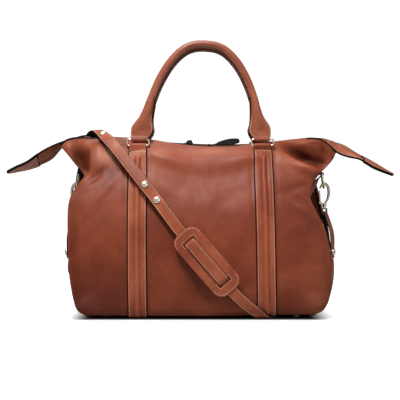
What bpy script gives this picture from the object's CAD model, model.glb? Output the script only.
"""A soft leather tote with two rolled handles, a zip with wings at its ends and a shoulder strap.

+X is the bag's right as seen from the front, the front faces -Y, and it stands on Z = 0.
Shapes are worked out in millimetres and turned into metres when a mesh is made. Surfaces are
functions of u and v, each 0..1 over the piece and a little beyond where an edge is turned in.
"""
import math
from functools import partial

import bpy
import bmesh
import numpy as np
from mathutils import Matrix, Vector


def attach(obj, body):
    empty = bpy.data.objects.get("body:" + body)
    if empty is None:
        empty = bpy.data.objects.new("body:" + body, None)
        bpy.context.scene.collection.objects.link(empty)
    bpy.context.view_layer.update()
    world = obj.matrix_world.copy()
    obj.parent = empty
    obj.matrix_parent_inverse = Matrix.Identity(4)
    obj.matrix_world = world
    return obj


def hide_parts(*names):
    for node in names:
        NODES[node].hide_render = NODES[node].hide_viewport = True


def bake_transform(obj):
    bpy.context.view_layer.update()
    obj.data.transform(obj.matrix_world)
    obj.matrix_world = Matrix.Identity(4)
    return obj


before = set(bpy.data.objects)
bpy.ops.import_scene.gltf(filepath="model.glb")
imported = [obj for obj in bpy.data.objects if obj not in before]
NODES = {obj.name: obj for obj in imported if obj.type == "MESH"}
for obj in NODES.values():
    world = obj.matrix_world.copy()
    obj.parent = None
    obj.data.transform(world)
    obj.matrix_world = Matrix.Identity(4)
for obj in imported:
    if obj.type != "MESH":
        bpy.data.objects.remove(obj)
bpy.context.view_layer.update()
RNG = np.random.RandomState(7)

MM = 0.001
FACES = ((0, "front"), (1, "back"))
SIDES = ((-1, "left"), (1, "right"))

# ------------------------------------------------------------------ body dimensions
HEIGHT = 344.0
FOOT = 8.0
HIDE = 2.2  # thickness of the body leather
PANEL_BOTTOM = FOOT + 2.8

# Half widths of the panels: height, distance from the middle. Front then back, left then right.
PANEL_EDGES = (
    (
        [(9, 218.2), (14, 229.9), (26, 238.4), (60, 246.1), (94, 250.2), (150.5, 252.6),
         (207.8, 253.9), (231.1, 250.7), (246.3, 244.1), (261.7, 234.6), (277.1, 225.0),
         (289.5, 233.7), (302.0, 244.6), (319.9, 258.0), (333.7, 269.4), (344.3, 277.2)],
        [(9, 218.2), (14, 231.9), (31, 243.4), (60, 248.1), (100, 250.2), (140, 246.5),
         (173.6, 238.0), (199.7, 225.4), (229.0, 213.1), (250.4, 212.7), (270.9, 221.7),
         (288.5, 233.4), (302.0, 244.8), (323.1, 259.6), (344.3, 267.9)],
    ),
    (
        [(9, 218.2), (14, 230.9), (31, 242.4), (60, 248.1), (100, 251.2), (150, 252.6),
         (199.7, 249.7), (230.0, 243.5), (255.5, 234.3), (276.1, 231.1), (296.8, 242.3),
         (317.8, 257.9), (344.3, 277.2)],
        [(9, 218.2), (14, 230.9), (31, 242.4), (60, 248.1), (100, 251.2), (150, 252.6),
         (180, 253.4), (205, 251.6), (225, 247.6), (245, 242.0), (262, 236.8), (276.1, 234.6),
         (296.8, 242.3), (317.8, 255.8), (344.3, 267.9)],
    ),
)
# Height, then half depth of the bag at the middle and at the side edges.
PANEL_DEPTH = [
    (9, 98, 92), (20, 108, 101), (60, 114, 105), (110, 115, 104), (160, 111, 99), (210, 99, 88),
    (250, 84, 74), (280, 70, 61), (313, 54, 46), (334, 42, 32), (344, 37, 27)]
# Height, then how far the end panel folds inwards at its middle.
END_FOLD = [
    (9, 0), (40, -4), (80, -7), (110, -6), (140, 1), (175, 12), (210, 24), (250, 30), (282, 32),
    (308, 40), (334, 52), (344, 56)]
# x, then height of the top edge on the front and on the back.
TOP_EDGE = [
    (-276.6, 335.8, 333.7), (-267.3, 345.1, 342.6), (-251.7, 350.3, 353.3),
    (-233.1, 351.3, 358.0), (-212.4, 350.3, 357.6), (-176.1, 351.3, 354.5),
    (-147.1, 350.3, 349.8), (-97.4, 346.1, 346.2), (-46.6, 337.6, 342.6), (0.0, 332.2, 340.4),
    (31.1, 330.9, 339.6), (62.2, 331.8, 339.7), (103.6, 337.9, 341.0), (149.2, 343.0, 343.4),
    (186.5, 347.2, 347.2), (219.6, 350.3, 351.3), (238.3, 347.2, 352.4), (252.8, 337.9, 350.3),
    (267.3, 321.3, 344.1)]

# ------------------------------------------------------------------ zip strip dimensions
ZIP_LEFT, ZIP_RIGHT = -274.0, 263.0
# x, height of the strip's middle line.
STRIP_HEIGHT = [
    (-384.9, 282.2), (-364.0, 289.5), (-342.0, 296.8), (-316.9, 310.4), (-298.1, 320.8),
    (-281.4, 333.3), (-267.8, 340.6), (-245.8, 343.7), (-214.4, 339.5), (-188.3, 333.3),
    (-172.6, 331.2), (-104.6, 331.2), (104.6, 331.2), (172.6, 331.2), (198.7, 334.3),
    (224.9, 340.6), (242.7, 341.6), (257.3, 337.5), (270.9, 331.2), (289.7, 323.9),
    (316.9, 312.4), (345.2, 296.8), (382.8, 278.1)]
# x, then rise of the strip's front and back borders over its middle line.
STRIP_RISE = [
    (-384.9, 1, -1), (-364.0, 3.5, -3.5), (-342.0, 6, -6), (-316.9, 10.5, -10.5),
    (-298.1, 10.5, -10.5), (-281.4, 5, -4), (-267.8, 2, 2), (-245.8, 5, 9), (-214.4, 9, 15),
    (-172.6, 16.5, 19), (-148.5, 17, 17), (-98.3, 12, 12), (-47.1, 6, 6), (0.0, 1.6, 1.6),
    (31.4, 0.6, 0.6), (62.8, 1.6, 1.6), (104.6, 5, 5), (150.6, 9.6, 9.6), (188.3, 11, 11),
    (221.8, 6, 8), (242.7, 0, 8), (257.3, -5, 9.5), (270.9, -11, 11), (289.7, -11.5, 11.5),
    (316.9, -6, 6), (345.2, -6.5, 6.5), (382.8, -1.5, 1.5)]
# Distance from the middle, half width of the wings.
WING_HALF_WIDTH = [
    (261, 24), (274, 21.5), (292, 20.5), (317, 19.5), (345, 18.5), (366, 14.5), (379, 8.5),
    (386, 2)]


# ------------------------------------------------------------------ arithmetic
def curve_at(table, x, column=None):
    """Smooth curve through a table's rows at x; all its columns, or just one."""
    data = np.asarray(table, float)
    xs = data[:, 0]
    ys = data[:, 1:] if column is None else data[:, column:column + 1]
    x = np.clip(np.asarray(x, float), xs[0], xs[-1])
    i = np.clip(np.searchsorted(xs, x, side="right") - 1, 0, len(xs) - 2)
    slope = np.empty_like(ys)
    slope[0] = (ys[1] - ys[0]) / (xs[1] - xs[0])
    slope[-1] = (ys[-1] - ys[-2]) / (xs[-1] - xs[-2])
    slope[1:-1] = (ys[2:] - ys[:-2]) / (xs[2:] - xs[:-2])[:, None]
    span = (xs[i + 1] - xs[i])[..., None]
    part = (x[..., None] - xs[i][..., None]) / span
    out = (
        (2 * part**3 - 3 * part**2 + 1) * ys[i] + (part**3 - 2 * part**2 + part) * slope[i] * span
        + (3 * part**2 - 2 * part**3) * ys[i + 1] + (part**3 - part**2) * slope[i + 1] * span)
    return out[..., 0] if ys.shape[1] == 1 else out


def numbered(rows):
    """Rows with their number put in front, to be read as a curve."""
    return [(i, *row) for i, row in enumerate(rows)]


def mix(start, end, part):
    return start + (end - start) * part


def smooth_step(start, end, x):
    part = np.clip((np.asarray(x, float) - start) / (end - start), 0, 1)
    return part * part * (3 - 2 * part)


def bell(x, centre, width):
    return np.exp(-((x - centre) / width) ** 2)


def unit(vectors):
    return vectors / np.maximum(np.linalg.norm(vectors, axis=-1, keepdims=True), 1e-12)


def stack(*parts):
    return np.stack(np.broadcast_arrays(*parts), axis=-1)


def turn_by(x, z, cosine, sine):
    return x * cosine + z * sine, -x * sine + z * cosine


# Frequency, phase and direction of the low waves that stand for the soft buckling of the leather.
WAVES = [(RNG.uniform(0.6, 1.6), RNG.uniform(0, 6.28), RNG.uniform(0, math.pi)) for _ in range(14)]


def waves(x, z, size, seed):
    total = 0.0
    for k in range(5):
        frequency, phase, angle = WAVES[(k * 3 + seed) % 14]
        run = x * math.cos(angle + seed) + z * math.sin(angle + seed)
        total = total + np.sin(run * frequency * 2 * math.pi / size + phase + seed)
    return total / 5.0


# ------------------------------------------------------------------ surfaces of the bag
# Swells and dents of the leather: x, z, half length, half height, turn in degrees, amount.
BUMPS = (
    ((205, 313, 32, 10.5, -25, -22), (238, 301, 15, 8, -30, -7), (178, 326, 24, 8, -20, -5),
     (206, 336, 44, 8, -6, 4.5), (214, 286, 26, 11, -28, 8.0), (196, 292, 30, 12, -30, 3),
     (246, 320, 14, 5, -50, -2.5), (232, 326, 12, 4, -35, 2.0), (-197, 316, 15, 28, 6, 10.5),
     (-238, 308, 14, 28, 14, -13), (-262, 330, 9, 9, 25, 4.0), (-206, 270, 34, 7, 38, -4.0),
     (-222, 262, 15, 14, 0, 3.5), (-185, 245, 40, 9, 48, 2.0), (192, 226, 30, 7, -30, -3.2),
     (200, 210, 24, 10, -40, 3.0), (190, 252, 36, 8, 18, -2.5), (210, 262, 18, 12, 0, 3),
     (0, 190, 80, 60, 0, 3.0), (20, 306, 60, 20, 0, 2.6), (-68, 309, 46, 13, -17, 4.2),
     (92, 309, 46, 13, 16, 4.2), (18, 268, 62, 26, 0, -3.2), (-180, 130, 45, 70, 0, 2.5),
     (190, 120, 40, 70, 0, 2.5), (-222, 30, 26, 11, 38, 2.4), (222, 30, 26, 11, -38, 2.4),
     (-60, 250, 60, 16, -30, 1.8), (70, 240, 60, 16, 35, -1.6), (-150, 330, 20, 12, 0, -2),
     (150, 322, 22, 14, 20, -1.5), (60, 320, 40, 12, -8, 1.5)),
    ((-205, 314, 30, 13, 25, -10), (205, 314, 30, 13, -25, -10), (-215, 272, 30, 7, 30, -4),
     (215, 272, 30, 7, -30, -4), (0, 180, 90, 60, 0, 3.0), (0, 295, 100, 20, 0, -2.5),
     (-190, 120, 40, 70, 0, 2.5), (190, 120, 40, 70, 0, 2.5), (-222, 34, 26, 6, -38, -3),
     (222, 34, 26, 6, 38, -3)),
)


def strap_x(side, z):
    """Middle line of the anchor strap on one side."""
    low, high = (-119.0, -121.8) if side < 0 else (128.0, 122.6)
    return mix(low, high, np.asarray(z, float) / 330)


def sag(back, x, z):
    """How far the soft leather stands off the plain loft."""
    out = 1.3 * waves(x, z, 150.0, 1 + 2 * back)
    out = out + 0.55 * waves(x, z, 62.0, 4 + back) + 0.2 * waves(x, z, 27.0, 2 + back)
    for x0, z0, length, height, degrees, amount in BUMPS[back]:
        turn = math.radians(degrees)
        along, over = turn_by(x - x0, z - z0, math.cos(turn), math.sin(turn))
        out = out + amount * np.exp(-(along / length) ** 2 - (over / height) ** 2)
    # pressed in a little beside the sewn straps
    for side, _ in SIDES:
        out = out - 0.9 * bell(np.abs(x - strap_x(side, z)), 23.0, 5.0)
    return out * smooth_step(0, 26, z) * (1 - 0.75 * smooth_step(326, 346, z))


def panel_ends(back, z):
    left, right = PANEL_EDGES[back]
    return -curve_at(left, z), curve_at(right, z)


def level(v):
    """Height of v on the upright panels."""
    return PANEL_BOTTOM + np.clip(v, 0, 1) * (HEIGHT - PANEL_BOTTOM)


def settle(x):
    """How far the leather hangs below the board along the bottom edge."""
    return 4.2 - 2.4 * smooth_step(72, 104, x)


def plain_panel(back, u, v):
    z = level(v)
    inside = np.clip(u, 0, 1)
    x = mix(*panel_ends(back, z), inside)
    top_x = mix(*panel_ends(back, HEIGHT), inside)
    y = mix(curve_at(PANEL_DEPTH, z, 1), curve_at(PANEL_DEPTH, z, 2), np.abs(2 * inside - 1) ** 3)
    top_part = np.maximum(0, (z - 190) / (HEIGHT - 190)) ** 2
    out_z = z + top_part * (curve_at(TOP_EDGE, top_x, 1 + back) - HEIGHT)
    # rolled side edges
    for past, sign in ((-u, 1), (u - 1, -1)):
        roll = np.clip(past / 0.02, 0, 1)
        x = x + sign * (-1.4 * np.sin(np.pi * roll) + 3.2 * roll * roll)
        y = y - 9.0 * roll
    # turned under at the bottom
    roll = np.clip(-v / 0.04, 0, 1)
    y = y - 11.0 * roll ** 1.3
    x = x * (1 - 0.012 * roll)
    out_z = out_z - 3.1 * np.sin(roll * math.pi / 2)
    if not back:
        out_z = out_z - settle(x) * (1 - smooth_step(4, 42, z))
    return stack(x, y if back else -y, out_z)


def normals_of(surface, u, v, step):
    over_u = surface(u + step, v) - surface(u - step, v)
    return unit(np.cross(over_u, surface(u, v + step) - surface(u, v - step)))


def panel(back, u, v):
    """Outer face of a main panel with the soft shape; u runs left to right."""
    points = plain_panel(back, u, v)
    safe_u, safe_v = np.clip(u, 0.004, 0.996), np.clip(v, 0.004, 0.996)
    normals = normals_of(partial(plain_panel, back), safe_u, safe_v, 0.0025) * (-1 if back else 1)
    fade = smooth_step(-0.005, 0.02, u) * smooth_step(-0.005, 0.02, 1 - u)
    offset = sag(back, points[..., 0], points[..., 2]) * (0.35 + 0.65 * fade)
    return points + normals * offset[..., None]


def end_panel(side, u, v):
    """End panel; u runs front to back."""
    v = np.asarray(v, float)
    z = level(v)
    upper = smooth_step(170, 280, z)
    across = 2 * u - 1
    front_x, back_x = (
        np.abs(panel_ends(back, z)[side > 0]) - 2.6 - 3 * upper for back, _ in FACES)
    half_depth = curve_at(PANEL_DEPTH, z, 2) - 3.4 - 1.0 * upper
    # a soft hollow low down becomes a sharp fold near the top
    fold = mix(1 - across * across, 1 - np.sqrt(across * across + 0.012) + 0.11, upper)
    front_z, back_z = (plain_panel(back, float(side > 0), v)[..., 2] for back, _ in FACES)
    x = mix(front_x, back_x, u) - curve_at(END_FOLD, z) * fold * (1 - 0.22 * upper)
    soft = 1.2 * waves(across * 60, z, 70.0, 5 + side) + 0.5 * waves(across * 60, z, 30.0, 3)
    x = x + soft * (1 - across ** 4) * smooth_step(0, 30, z)
    turned_in = 9.0 * np.clip(-v / 0.04, 0, 1) ** 1.3
    return stack(
        side * (x - turned_in), half_depth * across, mix(front_z, back_z, u) - 9 * upper - 0.6)


def strip_half_width(x):
    left, right = panel_ends(0, HEIGHT)
    _, middle, edge = PANEL_DEPTH[-1]
    bow = np.abs(2 * (x - left) / (right - left) - 1) ** 3
    between = np.minimum(mix(float(middle), edge, bow) - HIDE - 1.6, 33.0)
    return np.where(np.abs(x) > 261, curve_at(WING_HALF_WIDTH, np.abs(x)), between)


def strip(x, across):
    """The band that holds the zip and ends in the wings; across is -1 front to 1 back."""
    rise = np.where(across < 0, curve_at(STRIP_RISE, x, 1), curve_at(STRIP_RISE, x, 2))
    border = np.maximum(0, (np.abs(across) - 0.2) / 0.8) ** 1.15
    return stack(x, across * strip_half_width(x), curve_at(STRIP_HEIGHT, x) + rise * border)


# ------------------------------------------------------------------ mesh helpers
def link(name, points, faces, materials, indices=None):
    """Smooth mesh object from points in millimetres."""
    mesh = bpy.data.meshes.new(name)
    coordinates = (np.asarray(points, float).reshape(-1, 3) * MM).tolist()
    mesh.from_pydata(coordinates, [], [list(map(int, face)) for face in faces])
    for material in materials:
        mesh.materials.append(material)
    if indices is not None:
        mesh.polygons.foreach_set("material_index", np.asarray(indices, np.int32))
    mesh.polygons.foreach_set("use_smooth", np.full(len(mesh.polygons), True))
    mesh.update()
    return link_mesh(name, mesh)


def link_mesh(name, mesh):
    ob = bpy.data.objects.new(name, mesh)
    bpy.context.collection.objects.link(ob)
    return ob


def face_outward(ob):
    mesh = bmesh.new()
    mesh.from_mesh(ob.data)
    bmesh.ops.recalc_face_normals(mesh, faces=mesh.faces)
    mesh.to_mesh(ob.data)
    mesh.free()
    return ob


def stand_for(ob, piece, body="bag"):
    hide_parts(piece)
    if body:
        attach(ob, body)
    return ob


def shade(ob, values, name="fold_dark"):
    """Per-vertex darkness or burnish of the folds, read by the leather materials."""
    full = np.zeros(len(ob.data.vertices), np.float32)
    full[:values.size] = values.reshape(-1)
    ob.data.attributes.new(name, "FLOAT", "POINT").data.foreach_set("value", full)


def join(obs):
    """Merge meshes that share their materials into the first of them."""
    mesh = bmesh.new()
    for ob in obs:
        mesh.from_mesh(ob.data)
    mesh.to_mesh(obs[0].data)
    mesh.free()
    for ob in obs[1:]:
        bpy.data.objects.remove(ob)
    return obs[0]


def support(count, close):
    """Even steps over 0..1 with close rows at both ends, so that rims stay crisp."""
    even = np.linspace(0, 1, count + 1)
    return np.concatenate([[0, close], even[1:-1], [1 - close, 1]])


def sheet(name, surface, us, vs, high, low, materials, bulge=0.35, sign=1.0, paint=(0, 0)):
    """A thick sheet with a rounded rim.

    Its faces lie high and low off the surface along the normal, which sign -1 turns round.
    The materials are outer, rim, inner; paint is how many border cells the rim's one covers.
    """
    grid_u, grid_v = np.meshgrid(us, vs, indexing="ij")
    points = surface(grid_u, grid_v)
    normals = normals_of(surface, grid_u, grid_v, 0.003) * sign
    high = high(grid_u, grid_v) if callable(high) else np.full(grid_u.shape, float(high))
    rows, columns = grid_u.shape
    outer, inner = points + normals * high[..., None], points + normals * low
    parts = [outer.reshape(-1, 3), inner.reshape(-1, 3)]
    out_ids = np.arange(rows * columns).reshape(rows, columns)
    in_ids = out_ids + rows * columns
    faces, indices = [], []

    def quad(first, second, third, fourth, material):
        turned_quad = (first, fourth, third, second)
        faces.append(turned_quad if sign < 0 else (first, second, third, fourth))
        indices.append(material)

    for i in range(rows - 1):
        for j in range(columns - 1):
            border = min(i, rows - 2 - i) < paint[0] or min(j, columns - 2 - j) < paint[1]
            quad(out_ids[i, j], out_ids[i + 1, j], out_ids[i + 1, j + 1], out_ids[i, j + 1],
                 1 if border else 0)
            quad(in_ids[i, j], in_ids[i, j + 1], in_ids[i + 1, j + 1], in_ids[i + 1, j],
                 1 if border else 2)
    rim = [(i, 0) for i in range(rows - 1)] + [(rows - 1, j) for j in range(columns - 1)]
    rim += [(i, columns - 1) for i in range(rows - 1, 0, -1)]
    rim += [(0, j) for j in range(columns - 1, 0, -1)]
    rim_i, rim_j = np.array(rim).T
    within = points[np.clip(rim_i, 1, rows - 2), np.clip(rim_j, 1, columns - 2)]
    outward = unit(points[rim_i, rim_j] - within)
    thick = (high - low)[rim_i, rim_j][:, None]
    rings = [out_ids[rim_i, rim_j]]
    for k, part in enumerate((0.18, 0.5, 0.82)):
        ring = mix(outer[rim_i, rim_j], inner[rim_i, rim_j], part)
        parts.append(ring + outward * thick * bulge * math.sin(math.pi * part))
        rings.append(2 * rows * columns + np.arange(len(rim)) + k * len(rim))
    rings.append(in_ids[rim_i, rim_j])
    for upper, lower in zip(rings, rings[1:]):
        for k in range(len(rim)):
            following = (k + 1) % len(rim)
            quad(upper[k], lower[k], lower[following], upper[following], 1)
    return link(name, np.concatenate(parts), faces, materials, indices)


def tube_faces(rings, sides, base=0, ends=(-1, 1)):
    """Quads round a closed tube and its two end caps; ends sets which way the caps run."""
    faces = []
    for i in range(rings - 1):
        for j in range(sides):
            here, beside = base + i * sides + j, base + i * sides + (j + 1) % sides
            quad = (here, beside, beside + sides, here + sides)
            faces.append(quad if ends[1] > 0 else quad[:1] + quad[:0:-1])
    last = base + (rings - 1) * sides
    caps = tuple(range(base, base + sides)), tuple(range(last, last + sides))
    return faces + [caps[0][::ends[0]], caps[1][::ends[1]]]


def path_frames(path, normals):
    """Tangent, width direction and face normal along a path."""
    along = unit(np.gradient(path, axis=0))
    up = unit(normals - along * np.sum(normals * along, axis=1, keepdims=True))
    return along, np.cross(up, along), up


def path_normals(path, across, index, toward):
    """Normals square to a flat path, signed so that the one at index points toward."""
    normals = np.cross(unit(np.gradient(path, axis=0)), across)
    return normals if np.dot(normals[index], toward) > 0 else -normals


def sweep(name, path, normals, profile, materials):
    """profile: (across, up, material of the face to the next point), with material 2 on the ends."""
    _, across, up = path_frames(path, normals)
    shape = np.array([row[:2] for row in profile], float)
    points = path[:, None] + across[:, None] * shape[:, :1] + up[:, None] * shape[:, 1:]
    indices = [row[2] for row in profile] * (len(path) - 1) + [2, 2]
    faces = tube_faces(len(path), len(profile))
    return face_outward(link(name, points, faces, materials, indices))


def arc_length(path):
    return np.concatenate([[0], np.cumsum(np.linalg.norm(np.diff(path, axis=0), axis=1))])


def read_path(at, length, values):
    return np.stack([np.interp(at, length, values[:, k]) for k in range(3)], 1)


# Stations of a stitch: place over its half length, part of the radius, lift.
STITCH_ALONG = np.array([-1, -0.72, 0.0, 0.72, 1])
STITCH_ROUND = np.array([0.35, 0.85, 1.0, 0.85, 0.35])
STITCH_LIFT = np.array([-0.6, 0.0, 0.25, 0.0, -0.6])
STITCH_SIDES = 6
STITCH_SLANT = math.radians(8.0)


def stitches(name, lines, material, pitch=4.5, length=2.2, radius=0.74, sink=0.30):
    """Thread drawn stitch by stitch along lines of (points, surface normals)."""
    angle = np.arange(STITCH_SIDES) * 2 * math.pi / STITCH_SIDES
    cosine, sine = math.cos(STITCH_SLANT), math.sin(STITCH_SLANT)
    parts = []
    for path, normals in lines:
        run = arc_length(path)
        count = max(2, int(run[-1] / pitch))
        at = (np.arange(count) + 0.5) * run[-1] / count
        centre = read_path(at, run, path)
        along, across, up = path_frames(centre, unit(read_path(at, run, normals)))
        across = -across
        along, across = along * cosine + -across * sine, -across * cosine - along * sine
        along, across, up, centre = (a[:, None, None] for a in (along, -across, up, centre))
        ring = across * np.cos(angle)[:, None] + up * np.sin(angle)[:, None]
        station = (STITCH_ALONG * length / 2)[:, None, None]
        lift = (STITCH_LIFT * radius - sink)[:, None, None]
        size = (radius * STITCH_ROUND)[:, None, None]
        parts.append((centre + along * station + up * lift + ring * size).reshape(-1, 3))
    points = np.concatenate(parts)
    per_stitch = len(STITCH_ALONG) * STITCH_SIDES
    faces = [
        face for base in range(0, len(points), per_stitch)
        for face in tube_faces(len(STITCH_ALONG), STITCH_SIDES, base, ends=(1, -1))]
    return face_outward(link(name, points, faces, [material]))


def sew(name, lines, body="bag", **size):
    """Cream stitching that moves with a body."""
    ob = stitches(name, lines, THREAD, **size)
    if body:
        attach(ob, body)
    return ob


def edge_lines(path, normals, inset, lift, part=slice(None)):
    """Sewing lines along both edges of a swept band."""
    _, across, up = path_frames(path, normals)
    return [((path + across * side * inset + up * lift)[part], up[part]) for side in (-1, 1)]


def on_surface(surface, u, v, offset, sign=1.0):
    """Sewing line on a surface: points off it along its normals, and the normals."""
    u, v = np.broadcast_arrays(np.asarray(u, float), np.asarray(v, float))
    normals = normals_of(surface, u, v, 0.003) * sign
    return surface(u, v) + normals * offset, normals


# ------------------------------------------------------------------ shader helpers
def fill_inputs(tree, node, inputs):
    for key, value in inputs.items():
        if isinstance(value, bpy.types.NodeSocket):
            tree.links.new(value, node.inputs[key])
        else:
            node.inputs[key].default_value = value


def add_node(tree, kind, inputs=None, **settings):
    node = tree.nodes.new("ShaderNode" + kind)
    for key, value in settings.items():
        setattr(node, key, value)
    fill_inputs(tree, node, inputs or {})
    return node


def opaque(color):
    """Sockets stay as they are; colours get an alpha."""
    return (*color, 1) if isinstance(color, tuple) else color


class Shader:
    """A material in the making: its tree, Principled node and object coordinates."""

    def __init__(self, name):
        self.material = bpy.data.materials.new(name)
        self.material.use_nodes = True
        self.tree = self.material.node_tree
        self.tree.nodes.clear()
        output = self.node("OutputMaterial")
        self.principled = self.node("BsdfPrincipled")
        self.tree.links.new(self.principled.outputs["BSDF"], output.inputs["Surface"])
        self.point = self.node("TexCoord").outputs["Object"]

    def node(self, kind, inputs=None, **settings):
        return add_node(self.tree, kind, inputs, **settings)

    def noise(self, scale, detail=4.0, roughness=0.55, distortion=0.0, vector=None):
        return self.node("TexNoise", {
            "Scale": scale, "Detail": detail, "Roughness": roughness, "Distortion": distortion,
            "Vector": vector or self.point}).outputs["Fac"]

    def voronoi(self, scale, feature):
        inputs = {"Scale": scale, "Vector": self.point}
        return self.node("TexVoronoi", inputs, feature=feature).outputs["Distance"]

    def wave(self, direction, inputs):
        inputs = {**inputs, "Vector": self.point}
        return self.node("TexWave", inputs, bands_direction=direction).outputs["Fac"]

    def ramp(self, factor, stops):
        node = self.node("ValToRGB")
        elements = node.color_ramp.elements
        while len(elements) < len(stops):
            elements.new(0.5)
        for element, (position, color) in zip(elements, stops):
            element.position = position
            element.color = opaque(color if isinstance(color, tuple) else (color,) * 3)
        self.tree.links.new(factor, node.inputs["Fac"])
        return node.outputs["Color"]

    def blend(self, mode, factor, first, second):
        inputs = {0: factor, 6: opaque(first), 7: opaque(second)}
        return self.node("Mix", inputs, data_type="RGBA", blend_type=mode).outputs[2]

    def math(self, operation, first, second=0):
        return self.node("Math", {0: first, 1: second}, operation=operation).outputs[0]

    def spread(self, value, low, high):
        inputs = {"To Min": low, "To Max": high, "Value": value}
        return self.node("MapRange", inputs).outputs["Result"]

    def attribute(self, name):
        return self.node("Attribute", attribute_name=name).outputs["Fac"]

    def bump(self, height, strength, distance, below=None):
        inputs = {"Strength": strength, "Distance": distance, "Height": height}
        if below is not None:
            inputs["Normal"] = below
        return self.node("Bump", inputs).outputs["Normal"]

    def finish(self, inputs):
        fill_inputs(self.tree, self.principled, inputs)
        return self.material


# ------------------------------------------------------------------ materials
def leather(name, base, light, dark, roughness, grain, clouds, coat=0.02, specular=0.19):
    """clouds is the scale of the slow drift between dark, base and light."""
    sh = Shader(name)
    color = sh.ramp(sh.noise(clouds, 3, 0.5, 0.6), [(0.30, dark), (0.52, base), (0.74, light)])
    stain = sh.noise(clouds * 5.5, 5, 0.62, 1.0)
    color = sh.blend("MULTIPLY", 0.55, color, sh.ramp(
        stain, [(0.25, (0.72, 0.66, 0.64)), (0.6, (1, 1, 1)), (0.85, (1.1, 1.08, 1.05))]))
    fine = sh.noise(420, 3, 0.6)
    color = sh.blend("MULTIPLY", 0.35, color, sh.ramp(
        fine, [(0.3, (0.78, 0.74, 0.72)), (0.7, (1.08, 1.06, 1.05))]))
    # raised edges are worn pale and hollows are darker
    pointiness = sh.node("NewGeometry").outputs["Pointiness"]
    worn = sh.ramp(pointiness, [(0.46, 0.0), (0.50, 0.0), (0.56, 1.0)])
    deep = sh.ramp(pointiness, [(0.42, 1.0), (0.49, 0.0)])
    worn_color = tuple(min(1, channel * 1.35 + 0.01) for channel in light)
    color = sh.blend("MIX", sh.math("MULTIPLY", worn, 0.35), color, worn_color)
    color = sh.blend("MULTIPLY", sh.math("MULTIPLY", deep, 0.6), color, (0.45, 0.36, 0.33))
    color = sh.blend("MIX", sh.attribute("fold_light"), color, (0.66, 0.285, 0.185))
    fold = sh.attribute("fold_dark")
    color = sh.blend("MULTIPLY", fold, color, (0.085, 0.040, 0.035))
    # dark folds lose their shine
    shine = sh.math("ADD", sh.math("MULTIPLY", fold, -specular), specular)
    # grain from coarse cells down to pores
    cells = sh.voronoi(760, "SMOOTH_F1")
    coarse_cells = sh.voronoi(260, "F1")
    pores = sh.noise(1500, 2, 0.7)
    gloss = sh.spread(sh.noise(34, 5, 0.6), low=roughness - 0.09, high=roughness + 0.14)
    normal = sh.bump(sh.noise(60, 4, 0.55, 0.4), strength=0.25, distance=0.0006)
    normal = sh.bump(coarse_cells, grain * 0.5, 0.0003, normal)
    normal = sh.bump(cells, grain, 0.00022, normal)
    normal = sh.bump(pores, grain * 0.6, 0.00012, normal)
    return sh.finish({
        "Base Color": color, "Specular IOR Level": shine, "Roughness": gloss, "Normal": normal,
        "Coat Weight": coat, "Coat Roughness": 0.35})


def edge_paint(name):
    sh = Shader(name)
    color = sh.ramp(sh.noise(140, 4, 0.6), [(0.35, (0.004, 0.003, 0.003)),
                                            (0.7, (0.014, 0.010, 0.009))])
    normal = sh.bump(sh.noise(500, 3), strength=0.25, distance=0.0002)
    return sh.finish({
        "Base Color": color, "Roughness": 0.42, "Specular IOR Level": 0.05, "Normal": normal})


def suede(name, base, light):
    sh = Shader(name)
    color = sh.ramp(sh.noise(220, 6, 0.7), [(0.3, base), (0.7, light)])
    normal = sh.bump(sh.noise(1200, 4, 0.8), strength=0.5, distance=0.0004)
    return sh.finish({
        "Base Color": color, "Roughness": 0.92, "Sheen Weight": 0.4, "Normal": normal})


def thread(name, dark, light):
    sh = Shader(name)
    color = sh.ramp(sh.noise(300, 3), [(0.3, dark), (0.7, light)])
    normal = sh.bump(sh.wave("DIAGONAL", {"Scale": 900}), strength=0.5, distance=0.0002)
    return sh.finish({
        "Base Color": color, "Roughness": 0.6, "Sheen Weight": 0.3, "Normal": normal})


def metal(name, base, dark, roughness):
    sh = Shader(name)
    color = sh.ramp(sh.noise(45, 5, 0.6), [(0.3, dark), (0.62, base)])
    squeezed = sh.node("Mapping", {"Scale": (1, 1, 12), "Vector": sh.point}).outputs["Vector"]
    scratch = sh.noise(320, 4, 0.7, vector=squeezed)
    gloss = sh.spread(scratch, low=roughness - 0.05, high=roughness + 0.14)
    normal = sh.bump(scratch, strength=0.08, distance=0.0001)
    return sh.finish({
        "Base Color": color, "Metallic": 1.0, "Roughness": gloss, "Normal": normal})


def weave(name, dark, light, scale, twill=False):
    sh = Shader(name)
    first, second = (
        sh.wave(direction, {"Scale": scale, "Distortion": 0.3})
        for direction in ("DIAGONAL" if twill else "X", "Z"))
    if twill:
        height = sh.math("MULTIPLY", first, sh.math("ADD", second, 0.4))
    else:
        height = sh.math("MAXIMUM", first, second)
    color = sh.ramp(height, [(0.2, dark), (0.9, light)])
    color = sh.blend("MULTIPLY", 0.4, color, sh.ramp(sh.noise(60, 4), [(0.3, 0.6), (0.7, 1.0)]))
    normal = sh.bump(height, strength=0.6, distance=0.0003)
    return sh.finish({
        "Base Color": color, "Roughness": 0.85, "Sheen Weight": 0.25, "Normal": normal})


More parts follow.
